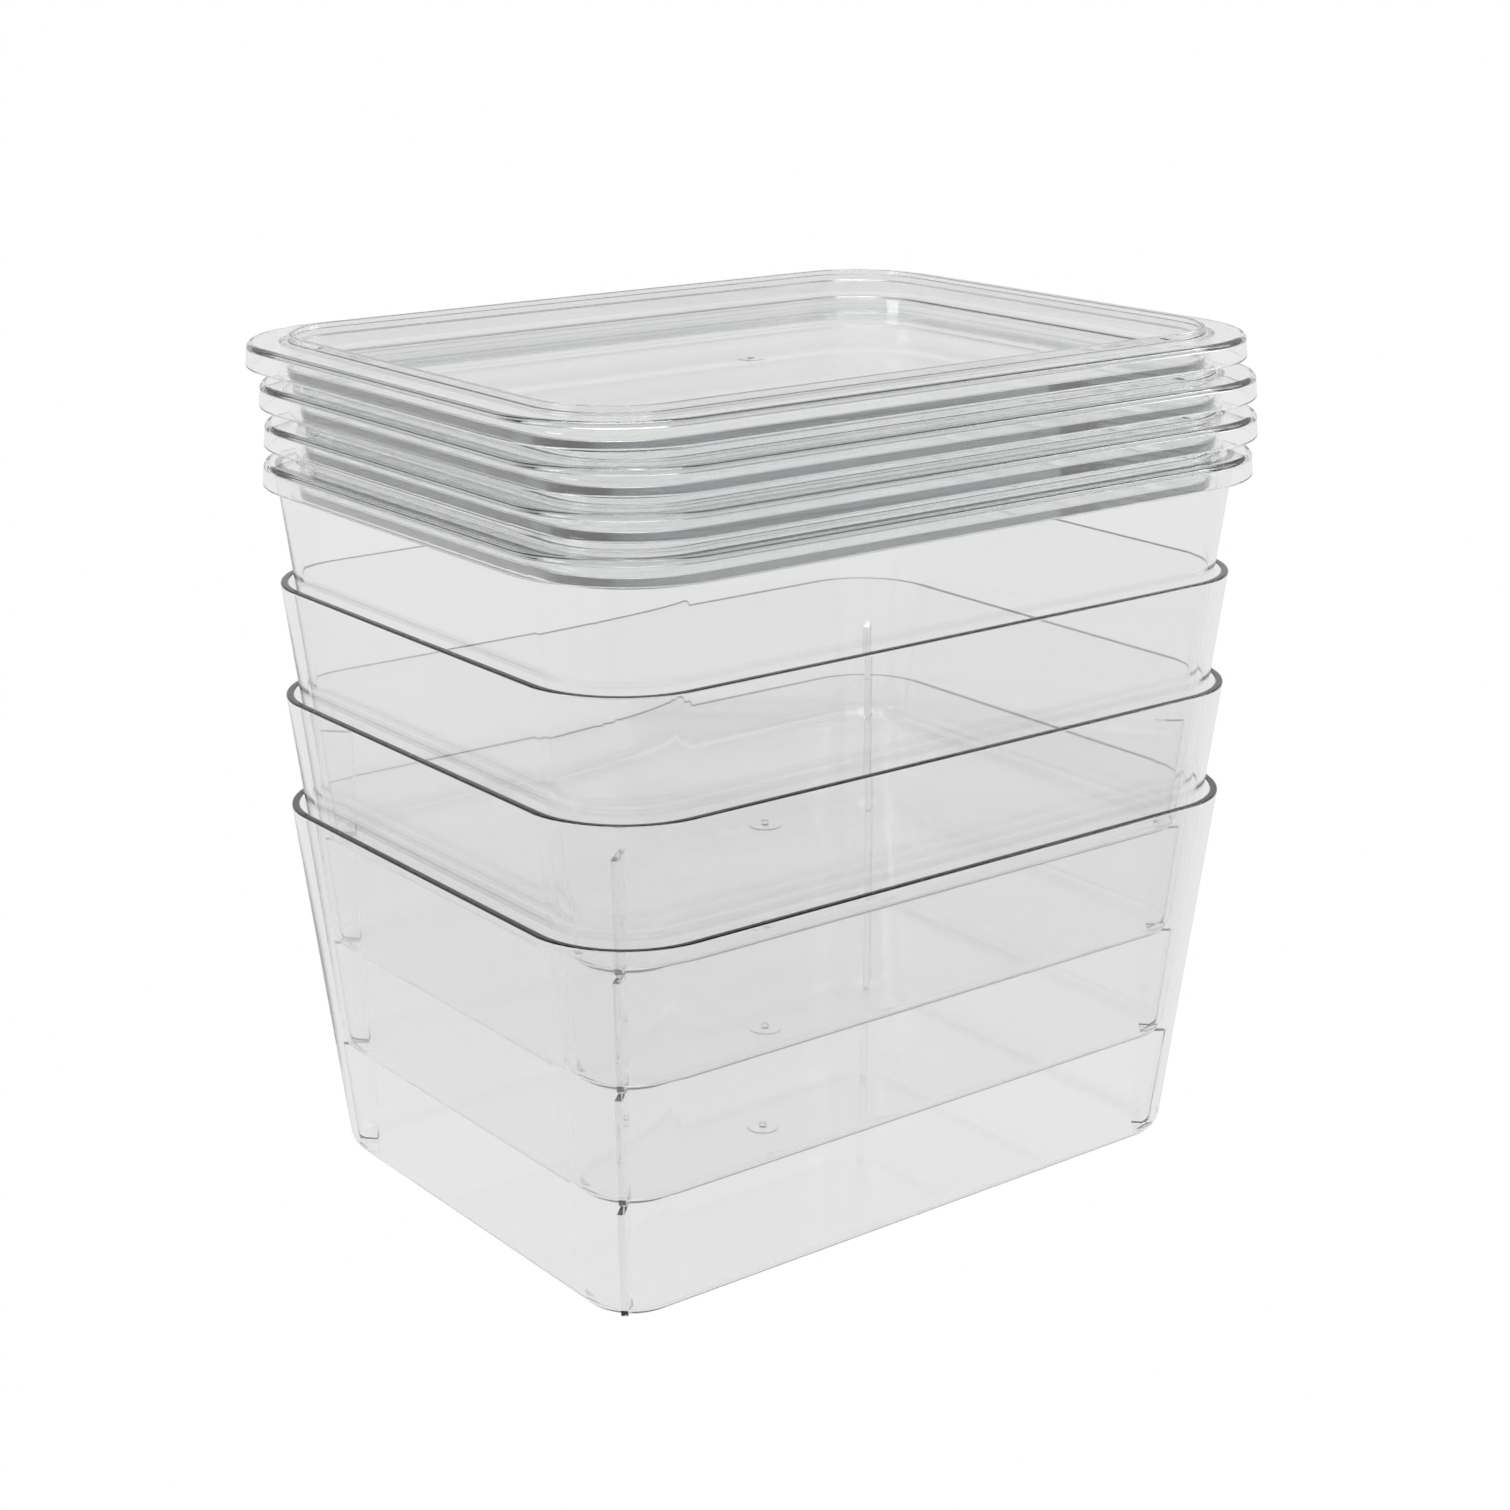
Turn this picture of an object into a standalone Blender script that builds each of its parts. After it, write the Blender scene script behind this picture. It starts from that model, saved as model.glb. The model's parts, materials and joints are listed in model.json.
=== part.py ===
"""Nesting clear storage bins with stacked clear lids.

Four identical tapered bins stand one inside the other, each held up by the
four corner ribs of the bin below. Four identical lids with a tray lie on the
top bin, each standing on the lip of the lid below. Every moulding is one
closed solid in one object. Metres, +Z up, origin at the middle of the lowest
bin's underside, +X along the long side.
"""

import math

import bmesh
import bpy
from mathutils import Matrix

COLLECTION_NAME = "nesting_bins"
MM = 0.001

# How many of each moulding there are, and the play between touching faces.
BIN_COUNT = 4
LID_COUNT = 4
TOUCH_GAP = 0.3 * MM

# Bin: the outside at the rim, and the height from underside to rim.
RIM_LENGTH = 300.0 * MM
RIM_WIDTH = 226.0 * MM
BIN_HEIGHT = 141.0 * MM
# The corners are cones on upright axes, so one radius at each end is enough.
RIM_CORNER_RADIUS = 37.0 * MM
BASE_CORNER_RADIUS = 19.8 * MM
BOTTOM_EDGE_RADIUS = 9.0 * MM
WALL = 2.8 * MM
FLOOR = 2.6 * MM
INNER_FILLET = 4.0 * MM

# Nesting: a bin stands this much above the one it is nested in.
NEST_PITCH = 42.0 * MM
RIB_THICKNESS = 2.4 * MM
RIB_INNER_RADIUS = 9.3 * MM
RIB_ROOT = 1.2 * MM

# Lid: the outside at the top edge. Heights are measured from the ledge.
LID_OVERHANG = 6.0 * MM
LID_CORNER_RADIUS = 46.0 * MM
LID_PLATE = 2.2 * MM
LID_EDGE_RADIUS = 2.0 * MM
SKIRT_WALL = 1.8 * MM
SKIRT_DEPTH = 8.6 * MM
SKIRT_FLARE = 0.8 * MM
LOCATING_RIB_INSET = 11.6 * MM
LOCATING_RIB_WALL = 1.6 * MM
# The tray's wall stands up past the ledge as a lip, which carries the next lid.
LIP_INSET = 14.7 * MM
LIP_WALL = 1.6 * MM
LIP_HEIGHT = 2.3 * MM
TRAY_DEPTH = 8.8 * MM
TRAY_PLATE = 2.7 * MM
TRAY_DRAFT = 0.4 * MM
# Each lid lies a little off centre, as a loose pile does. Lowest lid first.
LID_OFFSETS = ((1.2 * MM, -0.6 * MM), (2.0 * MM, -1.3 * MM), (1.2 * MM, -0.7 * MM), (-1.5 * MM, 2.5 * MM))

CORNER_SEGMENTS = 8
EDGE_STEPS = 3

CORNER_X = RIM_LENGTH / 2 - RIM_CORNER_RADIUS
CORNER_Y = RIM_WIDTH / 2 - RIM_CORNER_RADIUS
DRAFT_SLOPE = (RIM_CORNER_RADIUS - BASE_CORNER_RADIUS) / BIN_HEIGHT
RIM_TOP = (BIN_COUNT - 1) * NEST_PITCH + BIN_HEIGHT
FIRST_LEDGE = RIM_TOP + TOUCH_GAP + LID_PLATE
LID_PITCH = LIP_HEIGHT + TOUCH_GAP + TRAY_DEPTH + TRAY_PLATE


def clear_scene():
    for item in list(bpy.data.objects):
        bpy.data.objects.remove(item, do_unlink=True)


def new_collection(name):
    collection = bpy.data.collections.new(name)
    bpy.context.scene.collection.children.link(collection)
    return collection


def plastic(name, colour, roughness):
    """Clear moulded plastic."""
    material = bpy.data.materials.new(name)
    material.use_nodes = True
    shader = material.node_tree.nodes["Principled BSDF"]
    shader.inputs["Base Color"].default_value = (*colour, 1.0)
    shader.inputs["Metallic"].default_value = 0.0
    shader.inputs["Roughness"].default_value = roughness
    shader.inputs["IOR"].default_value = 1.57
    shader.inputs["Transmission Weight"].default_value = 0.9
    return material


def quarter_arc(start, end, steps):
    """Angles from start to end in degrees, both ends included."""
    return [math.radians(start + (end - start) * step / steps) for step in range(steps + 1)]


def rounded_rectangle(corner_x, corner_y, radius, height):
    """Points round a rectangle whose corner arcs are centred on (corner_x, corner_y)."""
    points = []
    corners = ((1, 1, 0), (-1, 1, 90), (-1, -1, 180), (1, -1, 270))
    for side_x, side_y, start in corners:
        for angle in quarter_arc(start, start + 90, CORNER_SEGMENTS):
            x = side_x * corner_x + radius * math.cos(angle)
            y = side_y * corner_y + radius * math.sin(angle)
            points.append((x, y, height))
    return points


def face_outwards(mesh):
    bmesh.ops.recalc_face_normals(mesh, faces=mesh.faces)
    if mesh.calc_volume(signed=True) < 0:
        bmesh.ops.reverse_faces(mesh, faces=mesh.faces)


def loft(name, corner_x, corner_y, profile):
    """A closed solid whose section is the profile, carried round the four corners.

    The profile runs from the edge of the upper cap to the edge of the lower
    one, as pairs of corner radius and height.
    """
    mesh = bmesh.new()
    rings = []
    for radius, height in profile:
        points = rounded_rectangle(corner_x, corner_y, radius, height)
        rings.append([mesh.verts.new(point) for point in points])
    for upper, lower in zip(rings, rings[1:]):
        for i in range(len(upper)):
            mesh.faces.new((upper[i - 1], upper[i], lower[i], lower[i - 1]))
    mesh.faces.new(rings[0])
    mesh.faces.new(rings[-1])
    face_outwards(mesh)
    data = bpy.data.meshes.new(name)
    mesh.to_mesh(data)
    mesh.free()
    data.shade_smooth()
    data.set_sharp_from_angle(angle=math.radians(35))
    return data


def wall_radius(height):
    """Corner radius of the bin's outside at a height above its underside."""
    return BASE_CORNER_RADIUS + DRAFT_SLOPE * height


def bin_profile():
    """Inside floor, up the inside wall, over the rim and down the outside."""
    fillet_centre = FLOOR + INNER_FILLET
    inside = wall_radius(fillet_centre) - WALL - INNER_FILLET
    profile = []
    for angle in quarter_arc(270, 360, EDGE_STEPS):
        radius = inside + INNER_FILLET * math.cos(angle)
        profile.append((radius, fillet_centre + INNER_FILLET * math.sin(angle)))
    profile.append((RIM_CORNER_RADIUS - WALL, BIN_HEIGHT))
    profile.append((RIM_CORNER_RADIUS, BIN_HEIGHT))
    outside = wall_radius(BOTTOM_EDGE_RADIUS) - BOTTOM_EDGE_RADIUS
    for angle in quarter_arc(0, -90, EDGE_STEPS):
        radius = outside + BOTTOM_EDGE_RADIUS * math.cos(angle)
        profile.append((radius, BOTTOM_EDGE_RADIUS + BOTTOM_EDGE_RADIUS * math.sin(angle)))
    return profile


def rib_outline():
    """A corner rib seen from the side: distance out from the corner's axis, and height."""
    bottom = FLOOR - RIB_ROOT
    top = NEST_PITCH - TOUCH_GAP
    foot = wall_radius(FLOOR + INNER_FILLET) - WALL - INNER_FILLET / 2
    shoulder = wall_radius(FLOOR + INNER_FILLET) - WALL + RIB_ROOT
    head = wall_radius(top) - WALL + RIB_ROOT
    return [
        (RIB_INNER_RADIUS, bottom),
        (foot, bottom),
        (shoulder, FLOOR + INNER_FILLET),
        (head, top),
        (RIB_INNER_RADIUS, top),
    ]


def corner_ribs(collection):
    """The four upright ribs that the next bin stands on, joined to its walls by a union."""
    mesh = bmesh.new()
    half = RIB_THICKNESS / 2
    for side_x, side_y, turn in ((1, 1, 45), (-1, 1, 135), (-1, -1, 225), (1, -1, 315)):
        place = Matrix.Translation((side_x * CORNER_X, side_y * CORNER_Y, 0))
        place = place @ Matrix.Rotation(math.radians(turn), 4, "Z")
        outline = [mesh.verts.new(place @ Matrix.Translation((out, -half, up)).to_translation())
                   for out, up in rib_outline()]
        face = mesh.faces.new(outline)
        step = place.to_3x3() @ Matrix.Translation((0, RIB_THICKNESS, 0)).to_translation()
        grown = bmesh.ops.extrude_face_region(mesh, geom=[face])["geom"]
        moved = [item for item in grown if isinstance(item, bmesh.types.BMVert)]
        bmesh.ops.translate(mesh, verts=moved, vec=step)
    face_outwards(mesh)
    data = bpy.data.meshes.new("corner_ribs")
    mesh.to_mesh(data)
    mesh.free()
    ribs = bpy.data.objects.new("corner_ribs", data)
    ribs.hide_render = True
    ribs.display_type = "WIRE"
    collection.objects.link(ribs)
    return ribs


def build_bins(parts, cutters, material):
    """Four copies of one bin. The first stands on the ground, the rest on each other."""
    data = loft("bin", CORNER_X, CORNER_Y, bin_profile())
    data.materials.append(material)
    ribs = corner_ribs(cutters)
    bins = []
    for number in range(BIN_COUNT):
        part = bpy.data.objects.new(f"bin_{number + 1}", data)
        parts.objects.link(part)
        own_ribs = ribs if number == 0 else ribs.copy()
        if number > 0:
            cutters.objects.link(own_ribs)
            part.parent = bins[-1]
            part.location = (0, 0, NEST_PITCH)
        own_ribs.parent = part
        join = part.modifiers.new("corner_ribs", "BOOLEAN")
        join.operation = "UNION"
        join.solver = "EXACT"
        join.object = own_ribs
        bins.append(part)
    return bins


def lid_profile():
    """Tray floor, up to the lip, over the ledge, down the skirt and back to the tray."""
    outer = LID_CORNER_RADIUS
    underside = -LID_PLATE
    foot = -TRAY_DEPTH - TRAY_PLATE
    rib_outer = outer - LOCATING_RIB_INSET
    rib_inner = rib_outer - LOCATING_RIB_WALL
    lip_outer = outer - LIP_INSET
    lip_inner = lip_outer - LIP_WALL
    profile = [
        (lip_inner - TRAY_DRAFT, -TRAY_DEPTH),
        (lip_inner, LIP_HEIGHT),
        (lip_outer, LIP_HEIGHT),
        (lip_outer, 0.0),
    ]
    edge_centre = outer - LID_EDGE_RADIUS
    for angle in quarter_arc(90, 0, EDGE_STEPS):
        radius = edge_centre + LID_EDGE_RADIUS * math.cos(angle)
        profile.append((radius, LID_EDGE_RADIUS * (math.sin(angle) - 1)))
    profile += [
        (outer + SKIRT_FLARE, -SKIRT_DEPTH),
        (outer + SKIRT_FLARE - SKIRT_WALL, -SKIRT_DEPTH),
        (outer - SKIRT_WALL, underside),
        (rib_outer, underside),
        (rib_outer, foot),
        (rib_inner, foot),
        (rib_inner, underside),
        (lip_outer, underside),
        (lip_outer - TRAY_DRAFT, foot),
    ]
    return profile


def build_lids(parts, material, carrier):
    """Four copies of one lid. The first lies on the top bin, the rest on each other."""
    corner_x = RIM_LENGTH / 2 + LID_OVERHANG - LID_CORNER_RADIUS
    corner_y = RIM_WIDTH / 2 + LID_OVERHANG - LID_CORNER_RADIUS
    data = loft("lid", corner_x, corner_y, lid_profile())
    data.materials.append(material)
    below = carrier
    below_x, below_y = 0.0, 0.0
    rise = FIRST_LEDGE - (BIN_COUNT - 1) * NEST_PITCH
    for number, (offset_x, offset_y) in enumerate(LID_OFFSETS[:LID_COUNT]):
        part = bpy.data.objects.new(f"lid_{number + 1}", data)
        parts.objects.link(part)
        part.parent = below
        part.location = (offset_x - below_x, offset_y - below_y, rise)
        below = part
        below_x, below_y = offset_x, offset_y
        rise = LID_PITCH


def main():
    clear_scene()
    parts = new_collection(COLLECTION_NAME)
    cutters = new_collection("cutters")
    bin_plastic = plastic("bin_clear", (0.93, 0.94, 0.94), 0.05)
    lid_plastic = plastic("lid_clear", (0.91, 0.92, 0.93), 0.06)
    bins = build_bins(parts, cutters, bin_plastic)
    build_lids(parts, lid_plastic, bins[-1])


main()
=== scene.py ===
"""Clear nesting bins and their lids, finished as moulded clear plastic."""

import json
import math

import bmesh
import bpy
from bpy.props import FloatProperty, FloatVectorProperty, IntProperty, PointerProperty
from mathutils import Matrix, Vector

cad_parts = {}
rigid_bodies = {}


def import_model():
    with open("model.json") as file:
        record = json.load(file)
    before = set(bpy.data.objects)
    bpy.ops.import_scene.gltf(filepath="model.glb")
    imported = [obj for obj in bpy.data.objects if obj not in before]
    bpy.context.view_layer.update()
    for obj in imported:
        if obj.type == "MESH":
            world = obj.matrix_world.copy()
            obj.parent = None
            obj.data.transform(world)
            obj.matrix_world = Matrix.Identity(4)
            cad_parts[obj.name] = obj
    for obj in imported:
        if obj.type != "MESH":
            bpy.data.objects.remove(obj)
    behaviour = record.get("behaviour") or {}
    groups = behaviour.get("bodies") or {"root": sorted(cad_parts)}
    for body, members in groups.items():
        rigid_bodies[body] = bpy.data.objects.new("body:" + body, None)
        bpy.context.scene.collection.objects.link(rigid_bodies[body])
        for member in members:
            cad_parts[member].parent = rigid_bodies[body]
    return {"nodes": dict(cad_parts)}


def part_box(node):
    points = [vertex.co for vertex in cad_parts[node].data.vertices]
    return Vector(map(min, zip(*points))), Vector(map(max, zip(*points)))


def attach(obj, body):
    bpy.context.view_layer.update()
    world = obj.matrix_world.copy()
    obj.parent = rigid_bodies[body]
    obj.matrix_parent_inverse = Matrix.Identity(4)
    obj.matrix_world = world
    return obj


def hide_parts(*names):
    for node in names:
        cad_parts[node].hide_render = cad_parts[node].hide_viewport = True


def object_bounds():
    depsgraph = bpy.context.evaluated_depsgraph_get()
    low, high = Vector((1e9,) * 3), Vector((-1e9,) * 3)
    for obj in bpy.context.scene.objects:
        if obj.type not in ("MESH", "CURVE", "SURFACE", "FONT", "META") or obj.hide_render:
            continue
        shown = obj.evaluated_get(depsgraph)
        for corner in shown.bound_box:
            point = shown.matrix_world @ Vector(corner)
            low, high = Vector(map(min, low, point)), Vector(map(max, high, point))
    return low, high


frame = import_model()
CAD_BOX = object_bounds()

bl_info = {
    "name": "Clear nesting bins",
    "version": (1, 0, 0),
    "blender": (4, 5, 0),
    "location": "View3D > Sidebar > Bins",
    "description": "Moulds clear nesting bins and their lids round a packed frame",
    "category": "Add Mesh",
}

MM = 0.001
BIN_NODES = sorted(name for name in frame["nodes"] if name.startswith("bin_"))
LID_NODES = sorted(name for name in frame["nodes"] if name.startswith("lid_"))
FIRST_BIN_LOW, FIRST_BIN_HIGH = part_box(BIN_NODES[0])
FIRST_LID_LOW, FIRST_LID_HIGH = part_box(LID_NODES[0])
MERGE = 0.000001

# Rounded corners in section: small radii need fewer flats.
SMALL_RADIUS = 3.0 * MM
SMALL_ARC_STEPS = 6
LARGE_ARC_STEPS = 14
# How far each gate mark stands above the floor it is on, and the radius on its edge.
BIN_PAD_RISE, BIN_PAD_EDGE = 0.3 * MM, 0.2 * MM
BIN_NUB_RISE, BIN_NUB_EDGE = 2.2 * MM, 0.6 * MM
LID_PAD_RISE, LID_PAD_EDGE = 0.12 * MM, 0.1 * MM
LID_NUB_RISE, LID_NUB_EDGE = 0.45 * MM, 0.2 * MM


def size(name, description, default):
    """A length that the user can change, in metres."""
    return FloatProperty(
        name=name, description=description, default=default, min=0.0, unit="LENGTH", precision=4)


class BinSizes(bpy.types.PropertyGroup):
    length: size("Length", "Outside length at the rim", FIRST_BIN_HIGH.x - FIRST_BIN_LOW.x)
    width: size("Width", "Outside width at the rim", FIRST_BIN_HIGH.y - FIRST_BIN_LOW.y)
    height: size("Height", "From the underside to the rim", FIRST_BIN_HIGH.z - FIRST_BIN_LOW.z)
    rim_corner: size("Rim corner", "Corner radius at the rim", 37.0 * MM)
    base_corner: size("Base corner", "Corner radius at the underside", 19.8 * MM)
    wall: size("Wall", "Thickness of the walls, level", 2.8 * MM)
    floor: size("Floor", "Thickness of the floor", 2.6 * MM)
    bottom_edge: size("Bottom edge", "Radius round the outside of the foot", 9.0 * MM)
    inner_fillet: size("Inner fillet", "Radius between the floor and the walls", 4.0 * MM)
    rim_edge: size("Rim edge", "Radius on both edges of the rim", 0.7 * MM)
    rib_height: size("Rib height", "From the underside to the head of a corner rib", 41.7 * MM)
    rib_thickness: size("Rib thickness", "Thickness of a corner rib", 2.4 * MM)
    rib_inner: size("Rib reach", "From a corner's axis to its rib's free edge", 9.3 * MM)
    gate_pad: size("Gate pad", "Radius of the pad where the mould is filled", 6.0 * MM)
    gate_nub: size("Gate nub", "Radius of the trimmed nub on the pad", 1.4 * MM)


class LidSizes(bpy.types.PropertyGroup):
    flare: size("Flare", "How far the skirt's foot stands out past the top edge", 0.8 * MM)
    corner: size("Corner", "Corner radius at the top edge", 46.0 * MM)
    plate: size("Plate", "Thickness of the ledge", 2.2 * MM)
    skirt_wall: size("Skirt wall", "Thickness of the skirt", 1.8 * MM)
    skirt_depth: size("Skirt depth", "From the ledge to the skirt's foot", 8.6 * MM)
    top_edge: size("Top edge", "Radius round the outside of the ledge", 2.0 * MM)
    foot_edge: size("Foot edge", "Radius on the skirt's foot", 0.6 * MM)
    rib_inset: size("Rib inset", "From the top edge in to the locating rib", 11.6 * MM)
    rib_wall: size("Rib wall", "Thickness of the locating rib", 1.6 * MM)
    lip_inset: size("Lip inset", "From the top edge in to the tray's lip", 14.7 * MM)
    lip_wall: size("Lip wall", "Thickness of the lip and the tray's wall", 1.6 * MM)
    lip_height: size("Lip height", "How far the lip stands above the ledge", 2.3 * MM)
    lip_edge: size("Lip edge", "Radius on the top of the lip", 0.6 * MM)
    lip_root: size("Lip root", "Radius between the ledge and the lip", 0.6 * MM)
    tray_depth: size("Tray depth", "From the ledge to the tray's floor", 8.8 * MM)
    tray_plate: size("Tray plate", "Thickness of the tray's floor", 2.7 * MM)
    tray_draft: size("Tray draft", "How far the tray's wall leans in", 0.4 * MM)
    tray_fillet: size("Tray fillet", "Radius between the tray's wall and its floor", 1.0 * MM)
    gate_pad: size("Gate pad", "Radius of the pad where the mould is filled", 5.0 * MM)
    gate_nub: size("Gate nub", "Radius of the trimmed nub on the pad", 1.2 * MM)


class Finish(bpy.types.PropertyGroup):
    bin_colour: FloatVectorProperty(
        name="Bin colour", description="Tint of the bins' plastic", subtype="COLOR",
        size=3, min=0.0, max=1.0, default=(0.994, 0.994, 0.991))
    lid_colour: FloatVectorProperty(
        name="Lid colour", description="Tint of the lids' plastic", subtype="COLOR",
        size=3, min=0.0, max=1.0, default=(0.99, 0.992, 0.99))
    edge_colour: FloatVectorProperty(
        name="Edge colour", description="What long ways through the plastic tend to", subtype="COLOR",
        size=3, min=0.0, max=1.0, default=(0.15, 0.21, 0.25))
    density: FloatProperty(
        name="Density", description="How fast the plastic takes up light, per metre", default=8.0)
    index: FloatProperty(name="Index", description="Index of refraction of clear plastic", default=1.57)
    corner_steps: IntProperty(
        name="Corner steps", description="Flats round each upright corner", default=24, min=4, max=64)


class StageSetup(bpy.types.PropertyGroup):
    lens: FloatProperty(
        name="Lens", description="Focal length in millimetres on a 36 mm sensor", default=66.79)
    place: FloatVectorProperty(
        name="Camera", description="Where the camera stands", subtype="TRANSLATION",
        unit="LENGTH", size=3, default=(-0.6103, -0.7891, 0.4664))
    turn: FloatProperty(
        name="Turn", description="Camera's turn about the upright axis", subtype="ANGLE",
        default=math.radians(-37.647))
    tilt: FloatProperty(
        name="Tilt", description="How far the camera looks down", subtype="ANGLE",
        default=math.radians(17.354))
    floor_glow: FloatProperty(
        name="Floor glow", description="Light that the floor gives by itself", default=0.84)


# Modelling helpers. A profile is a line of points in one upright plane: x is the
# distance out from a corner's axis and z is the height.

def draw_profile(mesh, corners):
    """A wire through the corners, each rounded to its own radius: (out, up, radius)."""
    verts = [mesh.verts.new((out, 0.0, up)) for out, up, _ in corners]
    for start, end in zip(verts, verts[1:]):
        mesh.edges.new((start, end))
    for vert, (_, _, radius) in zip(verts, corners):
        if radius > 0.0:
            round_corner(mesh, vert, radius)


def round_corner(mesh, vert, radius):
    """Rounds a wire's corner to an arc of the given radius."""
    first, second = (edge.other_vert(vert).co - vert.co for edge in vert.link_edges)
    setback = radius / math.tan(first.angle(second) / 2)
    segments = SMALL_ARC_STEPS if radius < SMALL_RADIUS else LARGE_ARC_STEPS
    bmesh.ops.bevel(
        mesh, geom=[vert], offset=setback, offset_type="OFFSET", segments=segments,
        profile=0.5, affect="VERTICES", material=-1)


def sweep_round_rectangle(mesh, corner_x, corner_y, steps):
    """Carries the profile round a rectangle with rounded corners, floor included."""
    bmesh.ops.translate(mesh, verts=mesh.verts, vec=(corner_x, corner_y, 0.0))
    profile = list(mesh.edges)
    axis_ends = [vert for vert in mesh.verts if len(vert.link_edges) == 1]
    far = bmesh.ops.spin(
        mesh, geom=profile, cent=(corner_x, corner_y, 0.0), axis=(0.0, 0.0, 1.0),
        angle=math.pi / 2, steps=steps, use_merge=False, use_duplicate=False)["geom_last"]
    far_edges = [item for item in far if isinstance(item, bmesh.types.BMEdge)]
    pull(mesh, far_edges, (-corner_x, 0.0, 0.0))
    pull(mesh, profile, (0.0, -corner_y, 0.0))
    middle = []
    for vert in axis_ends:
        middle += [edge for edge in vert.link_edges if is_floor_edge(edge, corner_x)]
    pull(mesh, middle, (-corner_x, 0.0, 0.0))
    mirror_quarter(mesh)


def is_floor_edge(edge, corner_x):
    """True for an edge that runs straight along Y on the corner's axis."""
    start, end = edge.verts
    level = abs(start.co.z - end.co.z) < MERGE
    return level and abs(start.co.x - corner_x) < MERGE and abs(end.co.x - corner_x) < MERGE


def pull(mesh, edges, step):
    """Extrudes edges and moves the new ones by step."""
    grown = bmesh.ops.extrude_edge_only(mesh, edges=edges)["geom"]
    moved = [item for item in grown if isinstance(item, bmesh.types.BMVert)]
    bmesh.ops.translate(mesh, verts=moved, vec=step)


def mirror_quarter(mesh):
    """Makes the whole piece from its quarter, closed and facing out."""
    bmesh.ops.remove_doubles(mesh, verts=mesh.verts, dist=MERGE)
    for axis in ("X", "Y"):
        bmesh.ops.mirror(mesh, geom=list(mesh.verts) + list(mesh.edges) + list(mesh.faces), axis=axis,
                         matrix=Matrix.Identity(4), merge_dist=MERGE)
    bmesh.ops.remove_doubles(mesh, verts=mesh.verts, dist=MERGE)
    bmesh.ops.dissolve_degenerate(mesh, edges=mesh.edges, dist=MERGE)
    face_outwards(mesh)


def face_outwards(mesh):
    bmesh.ops.recalc_face_normals(mesh, faces=mesh.faces)
    if mesh.calc_volume(signed=True) < 0.0:
        bmesh.ops.reverse_faces(mesh, faces=mesh.faces)


def add_disc(mesh, radius, low, high, edge):
    """A round pad on the middle of the piece, its top edge rounded."""
    made = bmesh.ops.create_cone(
        mesh, cap_ends=True, segments=48, radius1=radius, radius2=radius, depth=high - low,
        matrix=Matrix.Translation((0.0, 0.0, (low + high) / 2)))["verts"]
    rim = {edge for vert in made for edge in vert.link_edges}
    top = [item for item in rim if all(abs(vert.co.z - high) < MERGE for vert in item.verts)]
    bmesh.ops.bevel(mesh, geom=top, offset=edge, segments=4, profile=0.5, affect="EDGES", material=-1)


def as_object(mesh, name):
    data = bpy.data.meshes.new(name)
    mesh.to_mesh(data)
    mesh.free()
    return bpy.data.objects.new(name, data)


def join_solids(body, extras):
    """The mesh of body with the extras joined on, as one closed solid."""
    scene_objects = bpy.context.scene.collection.objects
    scene_objects.link(body)
    for extra in extras:
        scene_objects.link(extra)
        join = body.modifiers.new(extra.name, "BOOLEAN")
        join.operation = "UNION"
        join.solver = "EXACT"
        join.object = extra
    graph = bpy.context.evaluated_depsgraph_get()
    graph.update()
    data = bpy.data.meshes.new_from_object(body.evaluated_get(graph))
    for item in [body, *extras]:
        bpy.data.objects.remove(item, do_unlink=True)
    return data


def place_copy(data, name, offset, node, material):
    """Stands a copy of a moulding at its place and hands it to the frame."""
    own = data.copy()
    own.transform(Matrix.Translation(offset))
    own.materials.clear()
    own.materials.append(material)
    own.shade_smooth()
    own.set_sharp_from_angle(angle=math.radians(38))
    piece = bpy.data.objects.new(name, own)
    bpy.context.scene.collection.objects.link(piece)
    weighted = piece.modifiers.new("flat faces", "WEIGHTED_NORMAL")
    weighted.mode = "FACE_AREA"
    weighted.weight = 100
    weighted.keep_sharp = True
    piece.visible_shadow = False
    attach(piece, node)
    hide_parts(node)
    return piece


# Clear plastic.

def clear_plastic(name, colour, edge_colour, density, index):
    """Clear gloss plastic with a faint moulded ripple and uneven polish."""
    material = bpy.data.materials.new(name)
    material.use_nodes = True
    nodes = material.node_tree.nodes
    links = material.node_tree.links
    shader = nodes["Principled BSDF"]
    shader.inputs["Base Color"].default_value = (*colour, 1.0)
    shader.inputs["Metallic"].default_value = 0.0
    shader.inputs["IOR"].default_value = index
    shader.inputs["Transmission Weight"].default_value = 1.0

    place = nodes.new("ShaderNodeTexCoord")
    polish = nodes.new("ShaderNodeTexNoise")
    polish.inputs["Scale"].default_value = 22.0
    polish.inputs["Detail"].default_value = 3.0
    links.new(place.outputs["Object"], polish.inputs["Vector"])
    roughness = nodes.new("ShaderNodeMapRange")
    roughness.inputs["From Min"].default_value = 0.35
    roughness.inputs["From Max"].default_value = 0.75
    roughness.inputs["To Min"].default_value = 0.0
    roughness.inputs["To Max"].default_value = 0.02
    links.new(polish.outputs["Fac"], roughness.inputs["Value"])
    links.new(roughness.outputs["Result"], shader.inputs["Roughness"])

    ripple = nodes.new("ShaderNodeTexNoise")
    ripple.inputs["Scale"].default_value = 14.0
    ripple.inputs["Detail"].default_value = 1.0
    links.new(place.outputs["Object"], ripple.inputs["Vector"])
    bump = nodes.new("ShaderNodeBump")
    bump.inputs["Strength"].default_value = 0.1
    bump.inputs["Distance"].default_value = 0.0003
    links.new(ripple.outputs["Fac"], bump.inputs["Height"])
    links.new(bump.outputs["Normal"], shader.inputs["Normal"])

    body = nodes.new("ShaderNodeVolumeAbsorption")
    body.inputs["Color"].default_value = (*edge_colour, 1.0)
    body.inputs["Density"].default_value = density
    links.new(body.outputs["Volume"], nodes["Material Output"].inputs["Volume"])
    return material


# Bins.

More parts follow.
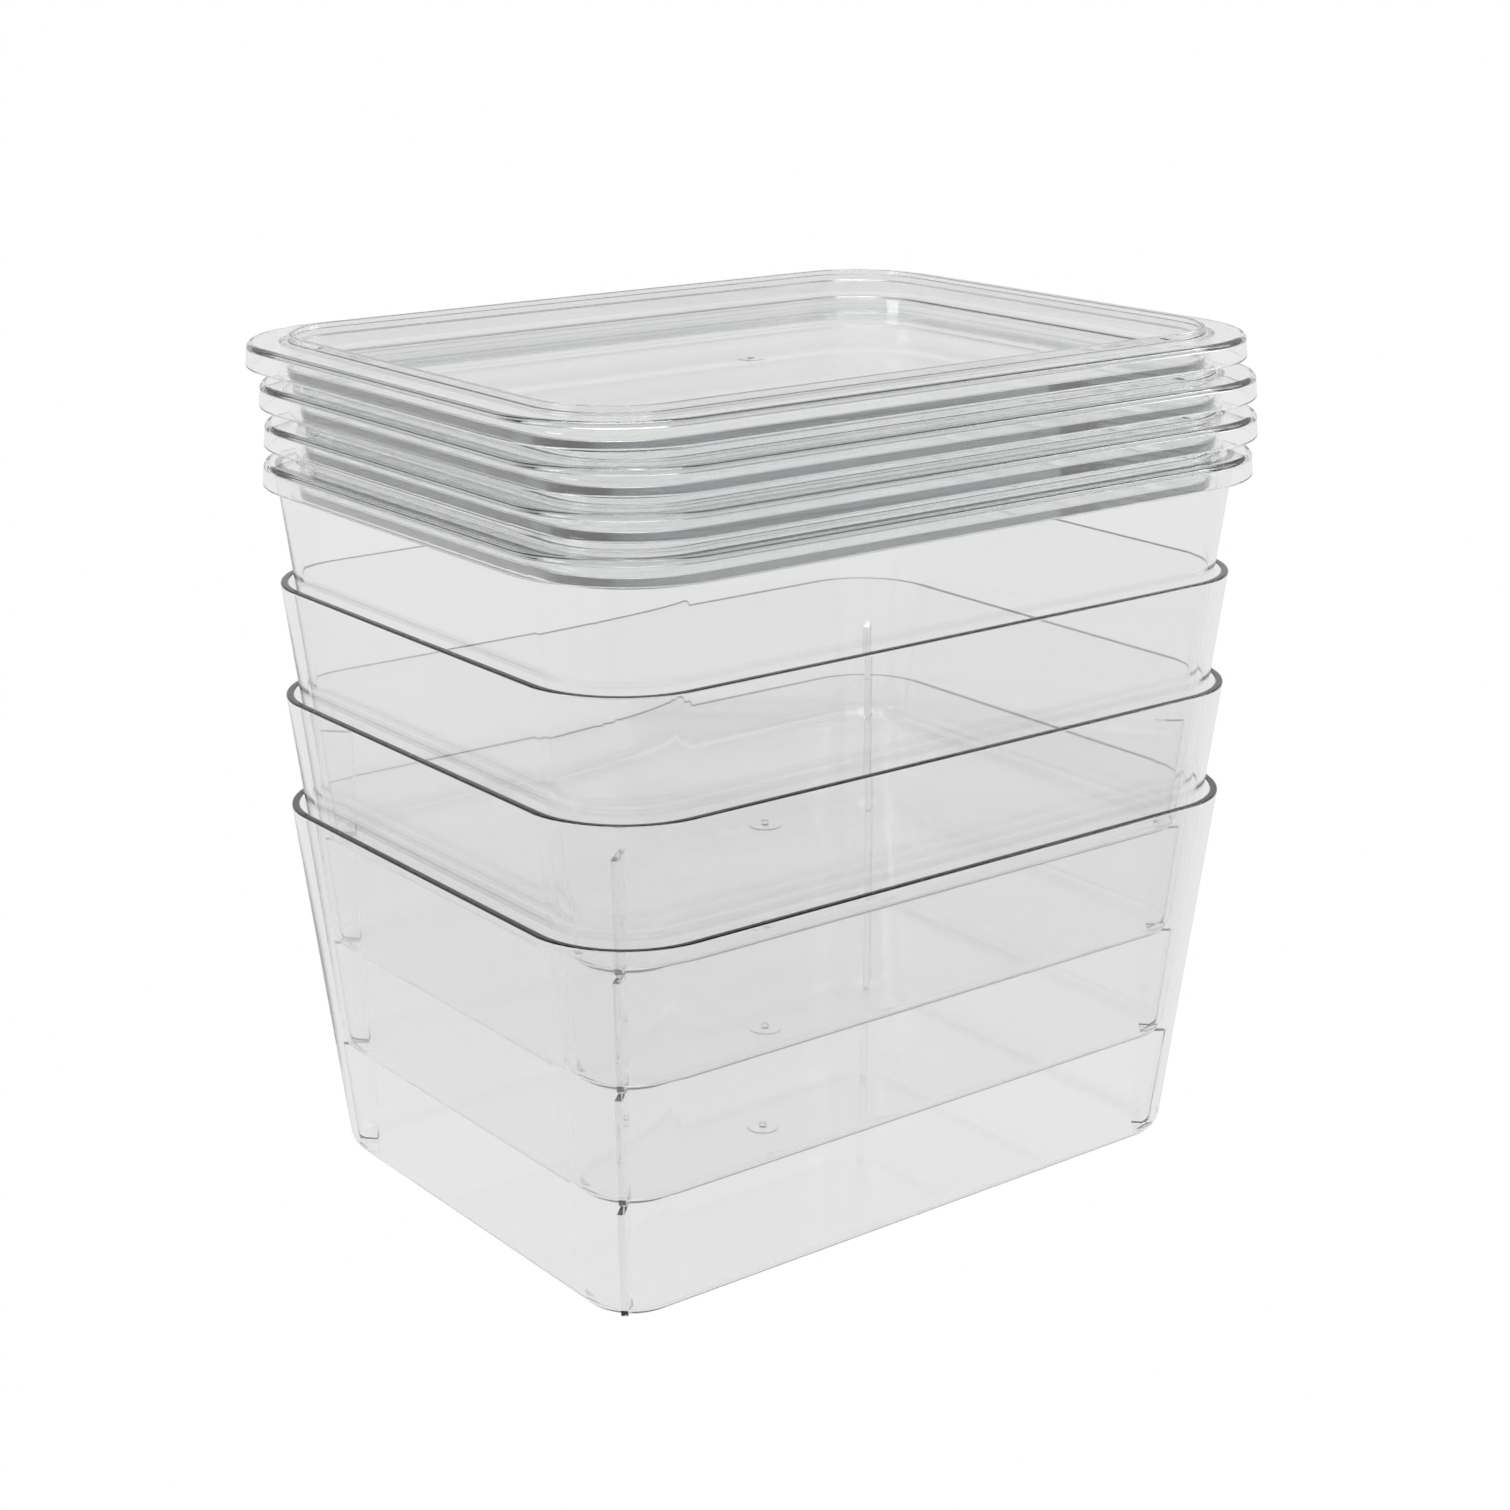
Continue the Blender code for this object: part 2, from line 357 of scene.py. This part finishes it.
def bin_wall_radius(sizes, height):
    """Corner radius of a bin's outside at a height above its underside."""
    slope = (sizes.rim_corner - sizes.base_corner) / sizes.height
    return sizes.base_corner + slope * height


def bin_corners(sizes):
    """A bin's wall in section, from the floor inside, over the rim, to the underside."""
    inside_foot = bin_wall_radius(sizes, sizes.floor) - sizes.wall
    return [
        (0.0, sizes.floor, 0.0),
        (inside_foot, sizes.floor, sizes.inner_fillet),
        (sizes.rim_corner - sizes.wall, sizes.height, sizes.rim_edge),
        (sizes.rim_corner, sizes.height, sizes.rim_edge),
        (sizes.base_corner, 0.0, sizes.bottom_edge),
        (0.0, 0.0, 0.0),
    ]


def bin_rib(sizes, corner_x, corner_y):
    """One corner rib, turned to face the corner."""
    mesh = bmesh.new()
    root = sizes.wall / 2
    low = sizes.floor / 2
    high = sizes.rib_height
    outer_low = bin_wall_radius(sizes, low) - root
    outer_high = bin_wall_radius(sizes, high) - root
    made = bmesh.ops.create_cube(mesh, size=1.0)["verts"]
    for vert in made:
        upper = vert.co.z > 0.0
        outer = outer_high if upper else outer_low
        vert.co.z = high if upper else low
        vert.co.x = outer if vert.co.x > 0.0 else sizes.rib_inner
        vert.co.y *= sizes.rib_thickness
    place = Matrix.Translation((corner_x, corner_y, 0.0)) @ Matrix.Rotation(math.radians(45), 4, "Z")
    bmesh.ops.transform(mesh, verts=mesh.verts, matrix=place)
    return mesh


def mould_bin(sizes, steps):
    """The mesh of one bin, standing on the floor at the origin."""
    corner_x = sizes.length / 2 - sizes.rim_corner
    corner_y = sizes.width / 2 - sizes.rim_corner
    mesh = bmesh.new()
    draw_profile(mesh, bin_corners(sizes))
    sweep_round_rectangle(mesh, corner_x, corner_y, steps)
    body = as_object(mesh, "bin_body")
    extras = []
    for side_x, side_y in ((1, 1), (-1, 1), (-1, -1), (1, -1)):
        rib = bin_rib(sizes, corner_x, corner_y)
        bmesh.ops.scale(rib, verts=rib.verts, vec=(side_x, side_y, 1.0))
        face_outwards(rib)
        extras.append(as_object(rib, "rib"))
    pad = bmesh.new()
    add_disc(pad, sizes.gate_pad, sizes.floor / 2, sizes.floor + BIN_PAD_RISE, BIN_PAD_EDGE)
    extras.append(as_object(pad, "gate_pad"))
    nub = bmesh.new()
    add_disc(nub, sizes.gate_nub, sizes.floor / 2, sizes.floor + BIN_NUB_RISE, BIN_NUB_EDGE)
    extras.append(as_object(nub, "gate_nub"))
    return join_solids(body, extras)


class MouldBins(bpy.types.Operator):
    """Mould the nested bins, each standing on the corner ribs of the one below"""

    bl_idname = "bins.mould_bins"
    bl_label = "Mould the bins"

    def execute(self, context):
        sizes = context.scene.bin_sizes
        finish = context.scene.bin_finish
        material = clear_plastic(
            "clear_bin_plastic", finish.bin_colour, finish.edge_colour, finish.density, finish.index)
        data = mould_bin(sizes, finish.corner_steps)
        for node in BIN_NODES:
            low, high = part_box(node)
            middle = (low + high) / 2
            place_copy(data, f"clear_{node}", (middle.x, middle.y, low.z), node, material)
        return {"FINISHED"}


# Lids.

def lid_corners(sizes):
    """A lid in section, from the tray's floor, over the lip and ledge, to its underside."""
    outer = sizes.corner
    underside = -sizes.plate
    rib_foot = -sizes.tray_depth - sizes.tray_plate
    rib_outer = outer - sizes.rib_inset
    rib_inner = rib_outer - sizes.rib_wall
    lip_outer = outer - sizes.lip_inset
    lip_inner = lip_outer - sizes.lip_wall
    foot = outer + sizes.flare
    inner_edge = 0.5 * MM
    return [
        (0.0, -sizes.tray_depth, 0.0),
        (lip_inner - sizes.tray_draft, -sizes.tray_depth, sizes.tray_fillet),
        (lip_inner, sizes.lip_height, sizes.lip_edge),
        (lip_outer, sizes.lip_height, sizes.lip_edge),
        (lip_outer, 0.0, sizes.lip_root),
        (outer, 0.0, sizes.top_edge),
        (foot, -sizes.skirt_depth, sizes.foot_edge),
        (foot - sizes.skirt_wall, -sizes.skirt_depth, sizes.foot_edge),
        (outer - sizes.skirt_wall, underside, inner_edge),
        (rib_outer, underside, inner_edge),
        (rib_outer, rib_foot, inner_edge),
        (rib_inner, rib_foot, inner_edge),
        (rib_inner, underside, inner_edge),
        (lip_outer, underside, inner_edge),
        (lip_outer - sizes.tray_draft, rib_foot, inner_edge),
        (0.0, rib_foot, 0.0),
    ]


def mould_lid(sizes, steps):
    """The mesh of one lid, its ledge at height 0."""
    half = (FIRST_LID_HIGH - FIRST_LID_LOW) / 2
    corner_x = half.x - sizes.flare - sizes.corner
    corner_y = half.y - sizes.flare - sizes.corner
    mesh = bmesh.new()
    draw_profile(mesh, lid_corners(sizes))
    sweep_round_rectangle(mesh, corner_x, corner_y, steps)
    body = as_object(mesh, "lid_body")
    floor = -sizes.tray_depth
    pad = bmesh.new()
    add_disc(pad, sizes.gate_pad, floor - sizes.tray_plate / 2, floor + LID_PAD_RISE, LID_PAD_EDGE)
    nub = bmesh.new()
    add_disc(nub, sizes.gate_nub, floor - sizes.tray_plate / 2, floor + LID_NUB_RISE, LID_NUB_EDGE)
    return join_solids(body, [as_object(pad, "gate_pad"), as_object(nub, "gate_nub")])


class MouldLids(bpy.types.Operator):
    """Mould the lids, each standing on the lip of the one below"""

    bl_idname = "bins.mould_lids"
    bl_label = "Mould the lids"

    def execute(self, context):
        sizes = context.scene.lid_sizes
        finish = context.scene.bin_finish
        material = clear_plastic(
            "clear_lid_plastic", finish.lid_colour, finish.edge_colour, finish.density, finish.index)
        data = mould_lid(sizes, finish.corner_steps)
        for node in LID_NODES:
            low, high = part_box(node)
            middle = (low + high) / 2
            ledge = high.z - sizes.lip_height
            place_copy(data, f"clear_{node}", (middle.x, middle.y, ledge), node, material)
        return {"FINISHED"}


# Stage.

def seen_or_felt(nodes, links, seen, felt):
    """A brightness that is one value where it is looked at and another in reflections."""
    path = nodes.new("ShaderNodeLightPath")
    choice = nodes.new("ShaderNodeMapRange")
    choice.inputs["To Min"].default_value = felt
    choice.inputs["To Max"].default_value = seen
    links.new(path.outputs["Is Camera Ray"], choice.inputs["Value"])
    return choice.outputs["Result"]


def pale_floor(glow):
    """A white floor, a little dimmer in what the plastic shows of it."""
    material = bpy.data.materials.new("pale_floor")
    material.use_nodes = True
    nodes = material.node_tree.nodes
    links = material.node_tree.links
    shader = nodes["Principled BSDF"]
    shader.inputs["Base Color"].default_value = (0.0, 0.0, 0.0, 1.0)
    shader.inputs["Roughness"].default_value = 1.0
    shader.inputs["Specular IOR Level"].default_value = 0.0
    shader.inputs["Emission Color"].default_value = (1.0, 1.0, 1.0, 1.0)
    links.new(seen_or_felt(nodes, links, 1.0, glow), shader.inputs["Emission Strength"])
    return material


def height_ramp(nodes, links, height, stops):
    """A brightness by height above the horizon: (height, colour) from low to high."""
    ramp = nodes.new("ShaderNodeValToRGB")
    ramp.color_ramp.interpolation = "EASE"
    while len(ramp.color_ramp.elements) < len(stops):
        ramp.color_ramp.elements.new(1.0)
    for element, (position, colour) in zip(ramp.color_ramp.elements, stops):
        element.position = position
        element.color = (*colour, 1.0)
    links.new(height, ramp.inputs["Fac"])
    return ramp.outputs["Color"]


def studio_world(turn):
    """A pale sweep behind the bins, a dim room in front of them and dim air overhead."""
    world = bpy.data.worlds.new("studio")
    world.use_nodes = True
    nodes = world.node_tree.nodes
    links = world.node_tree.links
    background = nodes["Background"]
    place = nodes.new("ShaderNodeTexCoord")
    split = nodes.new("ShaderNodeSeparateXYZ")
    links.new(place.outputs["Generated"], split.inputs["Vector"])
    pale = (0.84, 0.84, 0.83)
    dim = (0.13, 0.14, 0.16)
    sweep = height_ramp(nodes, links, split.outputs["Z"], ((0.0, pale), (0.5, pale), (0.75, dim)))
    room = height_ramp(nodes, links, split.outputs["Z"], ((0.0, pale), (0.04, pale), (0.2, dim)))
    ahead = nodes.new("ShaderNodeVectorMath")
    ahead.operation = "DOT_PRODUCT"
    ahead.inputs[1].default_value = (-math.sin(turn), math.cos(turn), 0.0)
    links.new(place.outputs["Generated"], ahead.inputs[0])
    side = nodes.new("ShaderNodeMapRange")
    side.interpolation_type = "SMOOTHSTEP"
    side.inputs["From Min"].default_value = -0.5
    side.inputs["From Max"].default_value = 0.3
    links.new(ahead.outputs["Value"], side.inputs["Value"])
    blend = nodes.new("ShaderNodeMix")
    blend.data_type = "RGBA"
    links.new(side.outputs["Result"], blend.inputs["Factor"])
    links.new(room, blend.inputs["A"])
    links.new(sweep, blend.inputs["B"])
    links.new(blend.outputs["Result"], background.inputs["Color"])
    links.new(seen_or_felt(nodes, links, 1.25, 1.0), background.inputs["Strength"])
    return world


def soft_light(name, place, towards, length, width, power):
    data = bpy.data.lights.new(name, "AREA")
    data.shape = "RECTANGLE"
    data.size = length
    data.size_y = width
    data.energy = power
    light = bpy.data.objects.new(name, data)
    light.location = place
    light.rotation_euler = (Vector(towards) - Vector(place)).to_track_quat("-Z", "Y").to_euler()
    bpy.context.scene.collection.objects.link(light)


class SetStage(bpy.types.Operator):
    """Set the floor, the lights and the camera"""

    bl_idname = "bins.set_stage"
    bl_label = "Set the stage"

    def execute(self, context):
        setup = context.scene.bin_stage
        scene = context.scene
        mesh = bmesh.new()
        bmesh.ops.create_grid(mesh, x_segments=1, y_segments=1, size=15.0)
        floor = as_object(mesh, "studio_floor")
        floor.location.z = CAD_BOX[0][2] - 0.2 * MM
        floor.data.materials.append(pale_floor(setup.floor_glow))
        scene.collection.objects.link(floor)

        scene.world = studio_world(setup.turn)
        middle = (Vector(CAD_BOX[0]) + Vector(CAD_BOX[1])) / 2
        soft_light("top_light", (0.0, 0.0, 1.9), middle, 1.1, 0.8, 16.0)
        soft_light("left_light", (-1.7, 0.3, 1.1), middle, 0.7, 1.0, 9.0)
        soft_light("right_light", (1.6, -0.6, 1.2), middle, 0.7, 1.0, 7.0)

        data = bpy.data.cameras.new("camera")
        data.lens = setup.lens
        data.sensor_width = 36.0
        data.clip_start = 0.01
        camera = bpy.data.objects.new("camera", data)
        camera.location = setup.place
        camera.rotation_euler = (math.pi / 2 - setup.tilt, 0.0, setup.turn)
        scene.collection.objects.link(camera)
        scene.camera = camera

        scene.view_settings.view_transform = "Standard"
        scene.cycles.max_bounces = 48
        scene.cycles.transmission_bounces = 48
        scene.cycles.glossy_bounces = 24
        scene.cycles.diffuse_bounces = 3
        return {"FINISHED"}


class BinsPanel(bpy.types.Panel):
    """Sizes and finish of the bins, and the buttons that make them"""

    bl_idname = "VIEW3D_PT_bins"
    bl_label = "Clear nesting bins"
    bl_space_type = "VIEW_3D"
    bl_region_type = "UI"
    bl_category = "Bins"

    def draw(self, context):
        layout = self.layout
        for group_name in GROUPS:
            group = getattr(context.scene, group_name)
            box = layout.box()
            for field in group.bl_rna.properties:
                if field.identifier not in ("rna_type", "name"):
                    box.prop(group, field.identifier)
        for step in STEPS:
            layout.operator(step.bl_idname)


GROUPS = {
    "bin_sizes": BinSizes,
    "lid_sizes": LidSizes,
    "bin_finish": Finish,
    "bin_stage": StageSetup,
}
STEPS = (SetStage, MouldBins, MouldLids)


def register():
    for group in GROUPS.values():
        bpy.utils.register_class(group)
    for name, group in GROUPS.items():
        setattr(bpy.types.Scene, name, PointerProperty(type=group))
    for item in (*STEPS, BinsPanel):
        bpy.utils.register_class(item)


def unregister():
    for item in (BinsPanel, *reversed(STEPS)):
        bpy.utils.unregister_class(item)
    for name, group in GROUPS.items():
        delattr(bpy.types.Scene, name)
        bpy.utils.unregister_class(group)


def main():
    register()
    bpy.ops.bins.set_stage()
    bpy.ops.bins.mould_bins()
    bpy.ops.bins.mould_lids()


if __name__ == "__main__":
    main()
